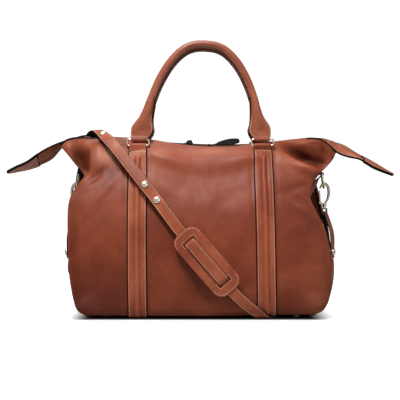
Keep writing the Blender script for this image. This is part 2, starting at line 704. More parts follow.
BODY_LEATHER = leather(
    "leather_body", base=(0.290, 0.061, 0.027), light=(0.410, 0.105, 0.048),
    dark=(0.176, 0.033, 0.015), roughness=0.43, grain=0.30, clouds=7.0)
TRIM_LEATHER = leather(
    "leather_trim", base=(0.345, 0.080, 0.036), light=(0.470, 0.130, 0.062),
    dark=(0.225, 0.045, 0.020), roughness=0.42, grain=0.25, clouds=12.0)
STRAP_LEATHER = leather(
    "leather_strap", base=(0.390, 0.097, 0.045), light=(0.510, 0.155, 0.078),
    dark=(0.265, 0.058, 0.026), roughness=0.40, grain=0.25, clouds=16.0)
WING_LEATHER = leather(
    "leather_wing", base=(0.370, 0.105, 0.052), light=(0.490, 0.165, 0.086),
    dark=(0.240, 0.060, 0.030), roughness=0.46, grain=0.40, clouds=18.0)
HANDLE_LEATHER = leather(
    "leather_handle", base=(0.360, 0.090, 0.042), light=(0.470, 0.145, 0.074),
    dark=(0.250, 0.056, 0.025), roughness=0.34, grain=0.25, clouds=14.0, coat=0.10,
    specular=0.42)
PALE_LEATHER = leather(
    "leather_wing_light", base=(0.520, 0.215, 0.130), light=(0.620, 0.300, 0.200),
    dark=(0.390, 0.140, 0.080), roughness=0.50, grain=0.40, clouds=18.0)
BLACK_LEATHER = leather(
    "leather_black", base=(0.0040, 0.0036, 0.0036), light=(0.008, 0.007, 0.007),
    dark=(0.002, 0.002, 0.002), roughness=0.50, grain=0.3, clouds=20.0, coat=0.0, specular=0.06)
EDGE_PAINT = edge_paint("edge_paint")
FLESH_SIDE = suede("leather_flesh_side", base=(0.20, 0.085, 0.045), light=(0.30, 0.14, 0.08))
THREAD = thread("thread_cream", dark=(0.76, 0.60, 0.43), light=(0.94, 0.82, 0.64))
BRASS = metal("pale_brass", base=(0.98, 0.91, 0.76), dark=(0.92, 0.82, 0.63), roughness=0.17)
NICKEL = metal(
    "black_nickel", base=(0.060, 0.056, 0.052), dark=(0.020, 0.019, 0.018), roughness=0.34)
WORN_BRASS = metal("worn_brass", base=(0.20, 0.16, 0.11), dark=(0.10, 0.08, 0.055), roughness=0.40)
TAPE = weave("zip_tape", dark=(0.006, 0.006, 0.007), light=(0.03, 0.03, 0.033), scale=260)
LINING = weave(
    "lining_twill", dark=(0.030, 0.022, 0.018), light=(0.085, 0.065, 0.052), scale=200, twill=True)
BOARD = suede("fibre_board", base=(0.10, 0.07, 0.05), light=(0.19, 0.14, 0.10))
CORD = weave("cotton_cord", dark=(0.42, 0.36, 0.28), light=(0.68, 0.62, 0.52), scale=240)

# Outer, edge and inner side of cut leather.
BODY_SIDES = [BODY_LEATHER, EDGE_PAINT, FLESH_SIDE]
TRIM_SIDES = [TRIM_LEATHER, EDGE_PAINT, FLESH_SIDE]
STRAP_SIDES = [STRAP_LEATHER, EDGE_PAINT, BLACK_LEATHER]

# CAD pieces that only get a material.
CAD_MATERIALS = (
    ("feet foot_washers", WORN_BRASS),
    ("left_slider right_slider left_pull_link right_pull_link", NICKEL),
    ("left_dring right_dring left_hook_gate right_hook_gate left_hook_eye right_hook_eye "
     "left_hook right_hook strap_studs front_handle_rings back_handle_rings "
     "front_zip_teeth back_zip_teeth", BRASS),
    ("lining_walls lining_ends lining_floor", LINING),
    ("base_board", BOARD),
    ("strap_fillers front_handle_core back_handle_core", CORD),
)
for pieces, material in CAD_MATERIALS:
    for piece in pieces.split():
        materials = NODES[piece].data.materials
        for i in range(len(materials)):
            materials[i] = material
        if not materials:
            materials.append(material)


# ------------------------------------------------------------------ soft shell
def front_dark(x, z):
    """Darkness in the folds of the front panel."""
    def turned_to(x0, z0):
        return turn_by(x - x0, z - z0, 0.906, -0.423)

    along, over = turned_to(207, 312.5)
    wide_along, wide_over = turned_to(206, 315)
    # upper and lower outline of the fold below the right ear
    top = np.interp(x, [172, 182, 195, 214, 234, 262], [327, 333, 337.5, 342, 344, 344])
    bottom = np.interp(x, [172, 178, 195, 214, 234, 250, 262], [321, 314, 303, 296, 291, 299, 310])
    left_ear = smooth_step(211, 218, -x) * (1 - 0.6 * smooth_step(246, 262, -x))
    dark = np.maximum.reduce([
        bell(along, 0, 30.0) * bell(over, 0, 10.5),
        0.62 * np.exp(-np.abs(wide_along / 40.0) ** 3 - np.abs(wide_over / 15.5) ** 3),
        0.58 * smooth_step(-1, 4, top - z) * smooth_step(-2, 6, z - bottom)
        * smooth_step(169, 177, x) * (1 - 0.5 * smooth_step(238, 252, x)),
        0.85 * bell(x, 262, 5.0) * bell(z, 311, 5.0),
        0.70 * bell(x, 240, 8.0) * bell(z, 299, 4.0),
        0.74 * left_ear * smooth_step(276, 288, z) * (1 - smooth_step(316, 340, z)),
        0.34 * smooth_step(205, 250, -x) * (1 - smooth_step(255, 285, z)),
        0.30 * smooth_step(215, 250, x) * (1 - smooth_step(190, 215, z)),
    ])
    low = 1 - 0.14 * (1 - smooth_step(60, 170, z))
    right = 1 - 0.10 * smooth_step(60, 200, x) * (1 - smooth_step(250, 300, z))
    return 1 - (1 - dark) * low * right


def front_light(x, z):
    """Burnish on the swells of the front panel."""
    return np.maximum.reduce([
        0.80 * bell(x, -186, 21.0) * bell(z, 313, 17.0),
        0.10 * bell(np.abs(x), 214, 26.0) * bell(z, 32, 18.0),
        0.30 * bell(x, -78, 22.0) * bell(z, 322, 9.0),
        0.30 * bell(x, 20, 60.0) * bell(z, 322, 7.0),
    ])


def back_dark(x, z):
    fold = 0.55 * bell(np.abs(x), 205, 30.0) * bell(z, 314, 12.0)
    return np.maximum(fold, 0.25 * smooth_step(215, 250, np.abs(x)))


def paint_ears(ob, back, x, v):
    """Black painted edge along the top of the ears; x and v are given per cell of the sheet."""
    indices = np.array([face.material_index for face in ob.data.polygons], np.int32)
    cells = indices[:2 * x.size].reshape(-1, 2)  # outer and inner face of each cell
    if back:
        ear = (x > -266) & (x < -176)
        cells[(v > 0.962) & ear, 1] = 1
        cells[(v > 0.985) & ear, 0] = 1
    else:
        cells[(v > 0.985) & ((x > 206) | (x < -190))] = 1
    ob.data.polygons.foreach_set("material_index", indices)


def build_panel(back, face):
    rolled = np.array([0.005, 0.010, 0.015, 0.02])
    us = np.concatenate([-rolled[::-1], np.linspace(0, 1, 151), 1 + rolled])
    vs = np.concatenate([
        [-0.04, -0.034, -0.026, -0.018, -0.01, -0.004], np.linspace(0, 1, 101)[:-1], [0.996, 1.0]])
    ob = sheet(
        "shell_" + face, partial(panel, back), us, vs, 0.0, -HIDE, BODY_SIDES,
        sign=-1.0 if back else 1.0)
    grid_u, grid_v = np.meshgrid(us, vs, indexing="ij")
    x, _, z = np.moveaxis(panel(back, grid_u, grid_v), -1, 0)
    if back:
        shade(ob, back_dark(x, z))
    else:
        shade(ob, front_dark(x, z))
        shade(ob, front_light(x, z), "fold_light")
    paint_ears(ob, back, x[:-1, :-1].ravel(), grid_v[:-1, :-1].ravel())
    stand_for(ob, face + "_panel")


def build_lining():
    walls = [
        sheet("lining_wall", partial(panel, back), np.linspace(0.05, 0.95, 136),
              np.linspace(0.05, 0.95, 91), -HIDE - 0.9, -HIDE - 1.6, [LINING] * 3,
              sign=-1.0 if back else 1.0)
        for back, _ in FACES]
    stand_for(join(walls), "lining_walls")


def build_end(side, side_name):
    us = np.linspace(0, 1, 61)
    vs = np.concatenate([[-0.04, -0.03, -0.02, -0.01], np.linspace(0, 1, 91)])
    surface = partial(end_panel, side)
    ob = sheet(
        "shell_end_" + side_name, surface, us, vs, 0.0, -HIDE, BODY_SIDES, sign=float(side))
    z = surface(*np.meshgrid(us, vs, indexing="ij"))[..., 2]
    shade(ob, 0.62 * smooth_step(150, 225, z) * (1 - smooth_step(300, 335, z)) + 0.12)
    stand_for(ob, side_name + "_gusset")


def base_surface(u, v):
    x, y = u * 2 - 1, v * 2 - 1
    # square to a rounded rectangle
    power = 7.0
    reach = np.maximum(np.abs(x), np.abs(y))
    pull_in = (reach + 1e-9) / ((np.abs(x) ** power + np.abs(y) ** power) ** (1 / power) + 1e-9)
    out_x, out_y = x * pull_in * 217.0, y * pull_in * 95.5
    reach = np.minimum(1, reach)
    z = FOOT + 0.5 * waves(out_x, out_y, 120.0, 3) * (1 - reach ** 4) + 1.9 * reach ** 10
    z = z - 0.9 * settle(out_x) * reach ** 6 * smooth_step(20, 90, -out_y)
    return stack(out_x, out_y, z)


def build_base():
    ob = sheet(
        "shell_base", base_surface, np.linspace(0, 1, 70), np.linspace(0, 1, 40), HIDE, 0.0,
        [FLESH_SIDE, BODY_LEATHER, BODY_LEATHER])
    stand_for(ob, "base_panel")
    angle = np.linspace(0, 2 * math.pi, 240)
    x, y = (np.sign(c) * np.abs(c) ** 0.28 for c in (np.cos(angle), np.sin(angle)))
    line = stack(x * 206, y * 85, FOOT - 0.1), np.tile([0.0, 0, -1], (240, 1))
    sew("base_stitching", [line], pitch=4.2, length=3.0, radius=0.45)


for back, face in FACES:
    build_panel(back, face)
build_lining()
for side, side_name in SIDES:
    build_end(side, side_name)
build_base()

# ------------------------------------------------------------------ anchor straps
ANCHOR_WIDTH = 37.0
ANCHOR_TOP = {-1: 0.932, 1: 0.953}  # v of the panel where each side's straps end
RIB_HEIGHT = 4.6
# The rings' lower bar, which the straps hold, and their upper bar, which the handles hold.
RING_X, BAR_Y, BAR_Z, BAR_GAP = 122.0, 48.6, 334.0, 12.0
ANCHOR_HALF_STEPS = [
    0, 0.045, 0.055, 0.065, 0.08, 0.095, 0.12, 0.16, 0.22, 0.26, 0.28, 0.295, 0.31, 0.325, 0.34,
    0.36, 0.39, 0.425, 0.46, 0.5]
ANCHOR_STEPS = np.array(ANCHOR_HALF_STEPS + [1 - k for k in ANCHOR_HALF_STEPS[-2::-1]])


def anchor_surface(back, side, u, v):
    panel_v = mix(-0.02, ANCHOR_TOP[side], v)
    z = level(panel_v)
    x = strap_x(side, z) + (u - 0.5) * (ANCHOR_WIDTH - 2.0 * smooth_step(0.8, 1, v))
    left, right = panel_ends(back, z)
    return panel(back, (x - left) / (right - left), panel_v)


def anchor_height(u, v):
    """Strap thickness with its middle rib, its grooves and its thinned edges."""
    off = np.abs(u - 0.5) / 0.185
    rib = np.where(off < 1, np.cos(np.clip(off, 0, 1) * math.pi / 2) ** 1.25, 0)
    rib = rib * smooth_step(0.0, 0.045, v) * (1 - smooth_step(0.940, 0.960, v))
    sewn = bell(u, 0.08, 0.02) + bell(u, 0.92, 0.02)
    beside_rib = (bell(u, 0.305, 0.035) + bell(u, 0.695, 0.035)) * (
        1 - smooth_step(0.94, 0.975, v))
    edges = bell(u, 0.0, 0.02) + bell(u, 1.0, 0.02)
    return 2.75 + RIB_HEIGHT * rib - 0.35 * sewn - 0.45 * beside_rib - 0.5 * edges


def build_anchor(back, face, side, side_name):
    tag = f"{face}_{side_name}"
    surface = partial(anchor_surface, back, side)
    sign = -1.0 if back else 1.0
    vs = np.unique(np.concatenate([support(96, 0.002), np.linspace(0.93, 0.97, 14)]))
    ob = sheet(
        "anchor_" + tag, surface, ANCHOR_STEPS, vs, anchor_height, 0.2, TRIM_SIDES, bulge=0.32,
        sign=sign, paint=(1, 1))
    stand_for(ob, tag + "_anchor_strap")
    lines = [on_surface(surface, u, np.linspace(0.012, 0.992, 160), 2.45, sign)
             for u in (0.085, 0.915)]
    # crosswise row under the loop
    lines.append(on_surface(surface, np.linspace(0.09, 0.91, 24), 0.984, 2.75, sign))

    # loop round the ring's lower bar: part of the path, y outward, z
    _, y, z = surface(np.array([0.5]), np.array([1.0]))[0]
    y = abs(y)
    loop = curve_at([
        (0, y + 3.0, z - 3.5), (0.14, y + 2.8, z + 0.6),
        (0.3, mix(y + 2.8, BAR_Y + 2.8, 0.6), mix(z + 1, BAR_Z - 1.0, 0.6)),
        (0.42, BAR_Y + 3.0, BAR_Z), (0.52, BAR_Y + 2.1, BAR_Z + 2.2), (0.62, BAR_Y, BAR_Z + 3.05),
        (0.72, BAR_Y - 2.1, BAR_Z + 2.1), (0.82, BAR_Y - 3.0, BAR_Z - 0.4),
        (1, BAR_Y - 2.5, BAR_Z - 4.2)], np.linspace(0, 1, 40))
    path = stack(side * RING_X, -sign * loop[:, 0], loop[:, 1])
    half = 17.0
    profile = [
        (-half, -0.7, 1), (-half, 0.5, 1), (-half + 0.5, 1.1, 0), (-half + 2.2, 0.95, 0),
        (-half + 3.6, 1.15, 0), (0, 1.2, 0), (half - 3.6, 1.15, 0), (half - 2.2, 0.95, 0),
        (half - 0.5, 1.1, 1), (half, 0.5, 1), (half, -0.7, 1), (half - 0.6, -1.1, 2),
        (-half + 0.6, -1.1, 1)]
    normals = path_normals(path, (1.0, 0, 0), 3, (0, -sign, 0))
    ob = sweep("loop_" + tag, path, normals, profile, TRIM_SIDES)
    stand_for(ob, tag + "_chape")
    sew("anchor_stitching_" + tag, lines)


for back, face in FACES:
    for side, side_name in SIDES:
        build_anchor(back, face, side, side_name)

# ------------------------------------------------------------------ handles
# Handle shapes stand upright on the ring's upper bar: x, y over the thickness, z up.
LEAN = math.radians(4.5)
GRIP_START = 76.0
GRIP_STRETCH = (196.0 - GRIP_START) / 116.0  # stretch of the arch over its table
GRIP_RADIUS = 7.5
# Middle line of the rolled grip: x, z.
GRIP_ARCH = numbered([
    (-97.6, 76.2), (-93.9, 85.3), (-89.2, 97.1), (-84.1, 108.7), (-78.2, 120.3), (-71.5, 131.9),
    (-64, 143.4), (-55.2, 154.7), (-45.4, 165), (-35.8, 172.9), (-25.5, 179), (-14.5, 182.9),
    (-4, 184.5), (6.5, 184.8), (17.6, 184), (30.5, 182), (43.9, 176.6), (54.3, 169.4),
    (63.9, 160.2), (73.2, 149), (80.7, 137.9), (87.2, 126.3), (92.8, 114.8), (97.7, 103.2),
    (102, 91.7), (106.9, 76.2)])
# Flared tabs: z, half width, then distance of the left and the right tab from the middle.
TAB = [
    (0, 15, 120.2, 121), (3.2, 17.2, 118.6, 120.2), (11.4, 20.2, 115.6, 118),
    (21, 21.1, 114, 116.6), (26.4, 19.9, 113.3, 116.2), (32.8, 17, 111.5, 115.3),
    (43.5, 12.9, 107.6, 112.4), (54.2, 10.4, 103.9, 110.2), (64, 8.8, 100.9, 108.6),
    (76, 7.7, 97.6, 106.9)]
# z, half thickness of the tabs.
TAB_DEPTH = [
    (0, 4.15), (3, 3.5), (7, 2.6), (14, 2.35), (21, 2.7), (27, 3.5), (33, 4.6), (43.5, 6.2),
    (54.2, 7.2), (64, 7.6), (76, 7.62), (78, 7.5)]
# z, power of the section's superellipse.
TAB_SQUARE = [(-4, 7.0), (6, 6.0), (18, 4.2), (30, 2.9), (44, 2.2), (60, 2.0), (78, 2.0)]
TAB_SECTION = 64  # points round a tab
FOLD_RADIUS = 4.15


def place_handle(points, back):
    """From the handle's own frame onto the bag, leaning towards the middle."""
    x, y, z = np.moveaxis(np.asarray(points, float), -1, 0)
    out_y = -BAR_Y + y * math.cos(LEAN) + z * math.sin(LEAN)
    out_z = BAR_Z + BAR_GAP - y * math.sin(LEAN) + z * math.cos(LEAN)
    return stack(x, -out_y if back else out_y, out_z)


def handle_line(path, normals, back):
    start = place_handle(path, back)
    return start, place_handle(path + normals, back) - start


def inner_face_dark(back, sine):
    """The back handle is dark on the side that faces the bag's front."""
    return 0.80 * smooth_step(-0.45, 0.15, sine) if back else 0.0


def build_grip(back, face):
    """Rolled grip with its seam on the inside of the arch; gives back its sewing lines."""
    part = np.linspace(0.002, 0.998, 181)
    arch = curve_at(GRIP_ARCH, 25 * part)
    path = stack(arch[:, 0], 0.0, GRIP_START + (arch[:, 1] - GRIP_START) * GRIP_STRETCH)
    across = np.array([0.0, 1, 0])
    inward = path_inward = np.cross(across, unit(np.gradient(path, axis=0)))
    to_centre = np.sum((np.array([4.5, 0, 60.0]) - path) * path_inward, axis=1)
    inward = inward * np.where(to_centre > 0, 1.0, -1.0)[:, None]
    count = 40
    angle = np.arange(count) * 2 * math.pi / count
    from_seam = np.minimum(angle, 2 * math.pi - angle)
    sewn_at = 0.78
    radius = GRIP_RADIUS - 0.5 * bell(from_seam, 0, 0.30) - 0.30 * bell(from_seam, sewn_at, 0.10)
    lumps = 0.10 * waves(part * 600, 0.0, 90.0, 2)
    ring = inward[:, None] * np.cos(angle)[:, None] + across * np.sin(angle)[:, None]
    points = path[:, None] + ring * (radius + lumps[:, None])[..., None]
    faces = tube_faces(len(part), count, ends=(1, -1))
    ob = link("grip_" + face, place_handle(points, back), faces, [HANDLE_LEATHER])
    dark = np.maximum(0.42 * bell(from_seam, 0, 0.75), inner_face_dark(back, np.sin(angle)))
    shade(ob, np.tile(dark, (len(part), 1)))
    stand_for(face_outward(ob), face + "_handle_grip", face + "_handle")
    lines = []
    for turn in (sewn_at, -sewn_at):
        normals = inward * math.cos(turn) + across * math.sin(turn)
        lines.append(handle_line((path + normals * 7.2)[6:-6], normals[6:-6], back))
    return lines


def tab_x(side, z):
    return curve_at(TAB, z, 2 if side < 0 else 3)


def crown(z, off):
    """Thickness left where a raised crown grows into the roll; the sewn borders stay flat."""
    amount = smooth_step(12, 30, z) * (1 - smooth_step(46, 64, z))
    return 1 - 0.50 * amount * smooth_step(0.45, 0.95, off)


def tab_ring(back, side, z, angle):
    """Points and darkness of one level of a tab."""
    half_width = float(curve_at(TAB, max(z, 0), 1))
    if z < 0:
        depth = math.sqrt(max(0.02, FOLD_RADIUS ** 2 - z * z))
    else:
        depth = float(curve_at(TAB_DEPTH, z))
    power = float(curve_at(TAB_SQUARE, z))
    tilt = float(tab_x(side, min(76, z + 1)) - tab_x(side, max(3.2, z - 1))) / 2
    tilt *= float(smooth_step(48, 76, z))
    cosine, sine = np.cos(angle), np.sin(angle)
    x = np.sign(cosine) * np.abs(cosine) ** (2 / power) * (half_width if z < 75 else 7.62)
    y = np.sign(sine) * np.abs(sine) ** (2 / power) * depth * crown(z, np.abs(x) / half_width)
    # dimple under the mouth of the roll
    y = y - np.sign(sine) * 1.25 * bell(z, 17, 5.5) * bell(x, 0, 8.0) * np.abs(sine) ** 0.3
    ring = stack(side * float(tab_x(side, max(z, 0.0))) + x, y, z - side * tilt * x)
    from_seam = np.minimum(angle, 2 * math.pi - angle) if side < 0 else np.abs(angle - math.pi)
    dark = 0.42 * bell(from_seam, 0, 0.75) * float(smooth_step(38, 70, z))
    return place_handle(ring, back), np.maximum(dark, inner_face_dark(back, sine))


def tab_lines(back, side):
    z = np.linspace(1.5, 46, 40)
    depth = curve_at(TAB_DEPTH[:9], z)
    power = curve_at(TAB_SQUARE[:6], z)
    half_width = curve_at(TAB, z, 1)
    inset = half_width - 1.9
    off = inset / half_width
    y = depth * (1 - off ** power) ** (1 / power) * crown(z, off) + 0.05
    return [
        handle_line(stack(side * tab_x(side, z) + edge * inset, face_y * y, z),
                    np.array([0, face_y, 0.0]), back)
        for face_y in (-1, 1) for edge in (-1, 1)]


def tab_material(back, side, z, degrees):
    """1, painted, on the side edges and on the back handle's inner edges; else 0."""
    inner = abs(degrees - 180) if side > 0 else min(abs(degrees), abs(degrees - 360))
    edge = min(abs(degrees), abs(degrees - 180), abs(degrees - 360)) < 7.5 and z < 44
    return int(edge or (back and inner < 62 and -3 < z < 46))


def build_handle(back, face):
    lines = build_grip(back, face)
    levels = np.concatenate([
        [-4.14, -3.9, -3.3, -2.4, -1.2, 0, 1, 2], np.linspace(3.2, 77.5, 64)])
    angle = np.arange(TAB_SECTION) * 2 * math.pi / TAB_SECTION
    rings, faces, indices = [], [], []
    for side, _ in SIDES:
        faces += tube_faces(len(levels), TAB_SECTION, base=len(rings) * TAB_SECTION)
        rings += [tab_ring(back, side, z, angle) for z in levels]
        indices += [tab_material(back, side, z, (j + 0.5) * 360 / TAB_SECTION)
                    for z in levels[:-1] for j in range(TAB_SECTION)] + [0, 0]
        lines += tab_lines(back, side)
    points, dark = (np.concatenate(part) for part in zip(*rings))
    ob = link("handle_tabs_" + face, points, faces, [HANDLE_LEATHER, EDGE_PAINT], indices)
    shade(ob, dark)
    body = face + "_handle"
    stand_for(face_outward(ob), face + "_handle_tabs", body)
    sew("handle_stitching_" + face, lines, body, pitch=4.2, length=2.1, radius=0.62, sink=0.22)


for back, face in FACES:
    build_handle(back, face)

# ------------------------------------------------------------------ zip
TEETH_DROP = 1.6  # below the strip's middle line
TOOTH_PITCH = 2.6
TOOTH_SECTION = np.array([
    (-0.62, -0.9), (0.62, -0.9), (0.85, 0.0), (0.62, 0.9), (-0.62, 0.9), (-0.85, 0.0)])
# Stations of a tooth: distance from the zip's middle, part of the section.
TOOTH_REACH = np.array([0.25, 0.9, 2.3, 2.9])
TOOTH_SIZE = np.array([0.55, 1.0, 1.0, 0.7])


def paint_black_end(ob):
    """Black end patch at the left ear; the outer border stays leather."""
    for face in ob.data.polygons:
        x = face.center.x * 1000
        inside = abs(face.center.y) * 1000 < 0.86 * float(strip_half_width(x))
        if -262.0 < x < -188.0 and face.material_index != 1 and inside:
            face.material_index = 3


def build_teeth(back, face, sign):
    x = np.arange(ZIP_LEFT + 5, ZIP_RIGHT - 5, TOOTH_PITCH) + (TOOTH_PITCH / 2 if back else 0.0)
    slope = (curve_at(STRIP_HEIGHT, x + 1) - curve_at(STRIP_HEIGHT, x - 1)) / 2
    along = unit(stack(1.0, 0.0, slope))
    up = stack(-along[:, 2], 0.0, along[:, 0])
    centre = stack(x, 0.0, curve_at(STRIP_HEIGHT, x) - TEETH_DROP)
    section = TOOTH_SIZE[:, None, None] * TOOTH_SECTION
    points = (centre[:, None, None] + along[:, None, None] * section[..., :1]
              + up[:, None, None] * section[..., 1:])
    points[..., 1] += sign * TOOTH_REACH[:, None]
    faces = [quad for i in range(len(x)) for quad in tube_faces(4, 6, 24 * i, ends=(1, 1))]
    ob = face_outward(link("zip_teeth_" + face, points, faces, [BRASS]))
    stand_for(ob, face + "_zip_teeth")


def build_zip_half(back, face):
    sign = 1.0 if back else -1.0

    def facing(u, v):
        return strip(mix(ZIP_LEFT, ZIP_RIGHT, u), sign * mix(0.215, 0.985, v))

    def tape(u, v):
        x = mix(ZIP_LEFT, ZIP_RIGHT, u)
        return strip(x, sign * mix(2.7 / strip_half_width(x), 0.5, v))

    def facing_height(u, v):
        return 1.0 - 0.3 * bell(v, 0.11, 0.035) + 0.25 * waves(u * 520, v * 30, 60.0, 2)

    across = np.array([0, 0.02, 0.06, 0.10, 0.14, 0.25, 0.4, 0.55, 0.7, 0.85, 0.96, 1.0])
    ob = sheet(
        "facing_" + face, facing, support(130, 0.0015), across, facing_height, -1.0,
        TRIM_SIDES + [TAPE], sign=sign, paint=(0, 1))
    paint_black_end(ob)
    stand_for(ob, face + "_zip_facing")
    ob = sheet(
        "tape_" + face, tape, np.linspace(0, 1, 90), np.linspace(0, 1, 7), -1.4, -2.1, [TAPE] * 3,
        sign=sign)
    stand_for(ob, face + "_zip_tape")
    along = np.linspace(0.01, 0.99, 200)
    sew("zip_stitching_" + face, [
        on_surface(facing, along, v, lift, sign) for v, lift in ((0.11, 0.75), (0.88, 1.0))])
    build_teeth(back, face, sign)


for back, face in FACES:
    build_zip_half(back, face)

# ------------------------------------------------------------------ wings
WING_STEPS = np.array([
    0, 0.035, 0.05, 0.08, 0.11, 0.2, 0.3, 0.4, 0.47, 0.5, 0.53, 0.6, 0.7, 0.8, 0.89, 0.92, 0.95,
    0.965, 1])
# Each side: x where the strip starts and ends, x where the tab starts and ends, left to right.
WING_SPANS = {
    -1: ((-326.5, ZIP_LEFT + 9), (-385.0, -323.0)),
    1: ((ZIP_RIGHT - 9, 326.5), (323.0, 384.0)),
}
WING_SEWING = dict(pitch=4.0, length=2.2, radius=0.52, sink=0.18)


def build_wing(side, side_name):
    body = "wing_" + side_name
    strip_span, tab_span = WING_SPANS[side]

    def strip_surface(u, v):
        points = strip(mix(*strip_span, u), (2 * v - 1) * 0.995)
        points[..., 2] += 1.2 * (2 * v - 1) ** 2 - 0.6
        return points

    def tab_surface(u, v):
        points = strip(mix(*tab_span, u), (2 * v - 1) * 1.02)
        points[..., 2] += 0.8 - 1.0 * (2 * v - 1) ** 2
        return points

    wing_strip = sheet(
        "wing_strip_" + side_name, strip_surface, support(40, 0.01), WING_STEPS,
        lambda u, v: 1.7 - 0.35 * bell(v, 0.5, 0.02), -1.7,
        [WING_LEATHER, EDGE_PAINT, WING_LEATHER], paint=(0, 1))
    stand_for(wing_strip, side_name + "_wing_strip", body=None)
    ob = sheet(
        "wing_tab_" + side_name, tab_surface, support(44, 0.030), WING_STEPS,
        lambda u, v: 2.7 - 0.3 * bell(v, 0.1, 0.03) - 0.3 * bell(v, 0.9, 0.03), -2.7,
        [WING_LEATHER, EDGE_PAINT, PALE_LEATHER], paint=(1, 1))
    stand_for(ob, side_name + "_wing_tab", body)

    tab_lines_, strip_lines = [], []

    def sew_both_faces(u, v):
        tab_lines_.append(on_surface(tab_surface, u, v, 2.3 if np.ndim(u) else 2.4))
        points, normals = on_surface(tab_surface, u, v, -2.4)
        tab_lines_.append((points, -normals))

    tab_u = np.linspace(0.03, 0.90, 60) if side > 0 else np.linspace(0.10, 0.97, 60)
    for tab_v, strip_v in ((0.10, 0.08), (0.90, 0.92)):
        sew_both_faces(tab_u, tab_v)
        strip_lines.append(on_surface(strip_surface, np.linspace(0.05, 0.95, 50), strip_v, 1.6))
    # crosswise row at the tab's inner end
    sew_both_faces(0.035 if side > 0 else 0.965, np.linspace(0.1, 0.9, 20))
    sew("wing_tab_stitching_" + side_name, tab_lines_, body, **WING_SEWING)
    strip_sewing = sew("wing_stitching_" + side_name, strip_lines, body=None, **WING_SEWING)
    # the strip bends where it leaves the zip
    zip_end = ZIP_RIGHT if side > 0 else ZIP_LEFT
    start, end = (
        (x * MM, 0, float(curve_at(STRIP_HEIGHT, x)) * MM)
        for x in (zip_end - side * 7, zip_end + side * 14))
    for ob in (wing_strip, strip_sewing):
        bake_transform(ob)
        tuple(start)
        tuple(end)


for side, side_name in SIDES:
    build_wing(side, side_name)

# ------------------------------------------------------------------ shoulder strap
STRAP_WIDTH = 23.0
STRAP_THICK = 3.0
SEAM_INSET = 2.3
# Middle line of the strap from the left hook to the right one: x, y, z, then its outer normal.
STRAP_PATH = numbered([
    (-256.5, 0, 124, -1, 0, 0.1), (-261.5, 5, 102, -1, 0.15, 0), (-264, 30, 88, -1, 0.25, -0.1),
    (-264.5, 64, 104, -1, 0.45, 0), (-264, 98, 150, -0.75, 0.8, 0.0),
    (-257, 109, 205, -0.45, 0.95, 0.2), (-248, 96, 264, -0.15, 1, 0.3),
    (-234, 73, 324, -0.1, 0.9, 0.5), (-222, 46, 356, -0.1, 0.55, 0.9),
    (-209, 10, 365.5, -0.05, 0.0, 1), (-197.5, -24, 360.5, 0, -0.4, 0.9),
    (-183.5, -50, 348.5, 0, -0.85, 0.55), (-167.4, -64, 332.4, 0, -1, 0.35),
    (-142.9, -79, 302.2, 0, -1, 0.42), (-119.8, -92, 273.1, 0, -1, 0.42),
    (-106.2, -99, 256.2, 0, -1, 0.36), (-82.3, -108, 226.5, 0, -1, 0.28),
    (-36, -123, 166, 0, -1, 0.14), (13, -127.3, 110, 0, -1, 0.04),
    (61.6, -129, 54, 0, -1, -0.03), (80, -126, 36, 0, -1, -0.1), (98, -121, 21, 0, -1, -0.3),
    (112, -115, 11, 0, -0.85, -0.7), (122, -104, 4.6, 0, -0.3, -1), (145, -82, 3.3, 0, 0, -1),
    (180, -48, 3.1, 0, 0, -1), (215, -18, 3.2, 0, 0, -1), (240, -5, 7, 0.45, -0.1, -0.9),
    (254, -1.5, 26, 0.9, -0.05, -0.35), (261.4, -3.5, 60, 0.96, -0.276, -0.05),
    (262, -5, 98, 0.914, -0.407, 0), (256.9, -4.2, 124, 0.914, -0.407, 0.1)])
# The stretch of the CAD strap's middle line that carries the studs: station, then as above.
CAD_STUD_PATH = [
    (9, -209, 10, 370, -0.05, 0.0, 1), (10, -197.5, -24, 365, 0, -0.4, 0.9),
    (11, -183.5, -50, 351, 0, -0.85, 0.55), (12, -167.4, -64, 332.4, 0, -1, 0.35)]
CAD_STUD_AT, STUD_AT = 10.05, 10.42  # stations of the moved stud
STUD_REACH = 16  # vertices this near the old place move with it
# Strap end folded through its hook: distance from the middle, z.
STRAP_TAIL = numbered([
    (256.4, 127.4), (256, 135), (254.5, 150), (251.5, 170), (247.9, 186), (245, 194.5),
    (244.4, 200.5), (245.3, 202.6), (247.4, 203.5), (249.5, 202.6), (250.4, 200.5), (252.4, 195),
    (257, 183), (262, 168), (264.5, 151), (264.4, 131), (264.5, 111.5)])
TAIL_WIDTH = STRAP_WIDTH - 1
SWIVEL_TURN = math.radians(24)
SWIVEL_X = 247.4


def strap_profile(width, thick):
    half, top = width / 2, thick / 2
    return [
        (-half, -top * 0.25, 1), (-half, top * 0.35, 1), (-half + 0.8, top * 0.88, 0),
        (-half + 1.6, top * 0.92, 0), (-half + 2.3, top * 0.72, 0), (-half + 3.0, top * 0.98, 0),
        (-half + 6, top * 1.12, 0), (0, top * 1.16, 0), (half - 6, top * 1.12, 0),
        (half - 3.0, top * 0.98, 0), (half - 2.3, top * 0.72, 0), (half - 1.6, top * 0.92, 0),
        (half - 0.8, top * 0.88, 1), (half, top * 0.35, 1), (half, -top * 0.25, 2),
        (half - 0.4, -top * 0.95, 2), (0, -top, 2), (-half + 0.4, -top * 0.95, 2)]


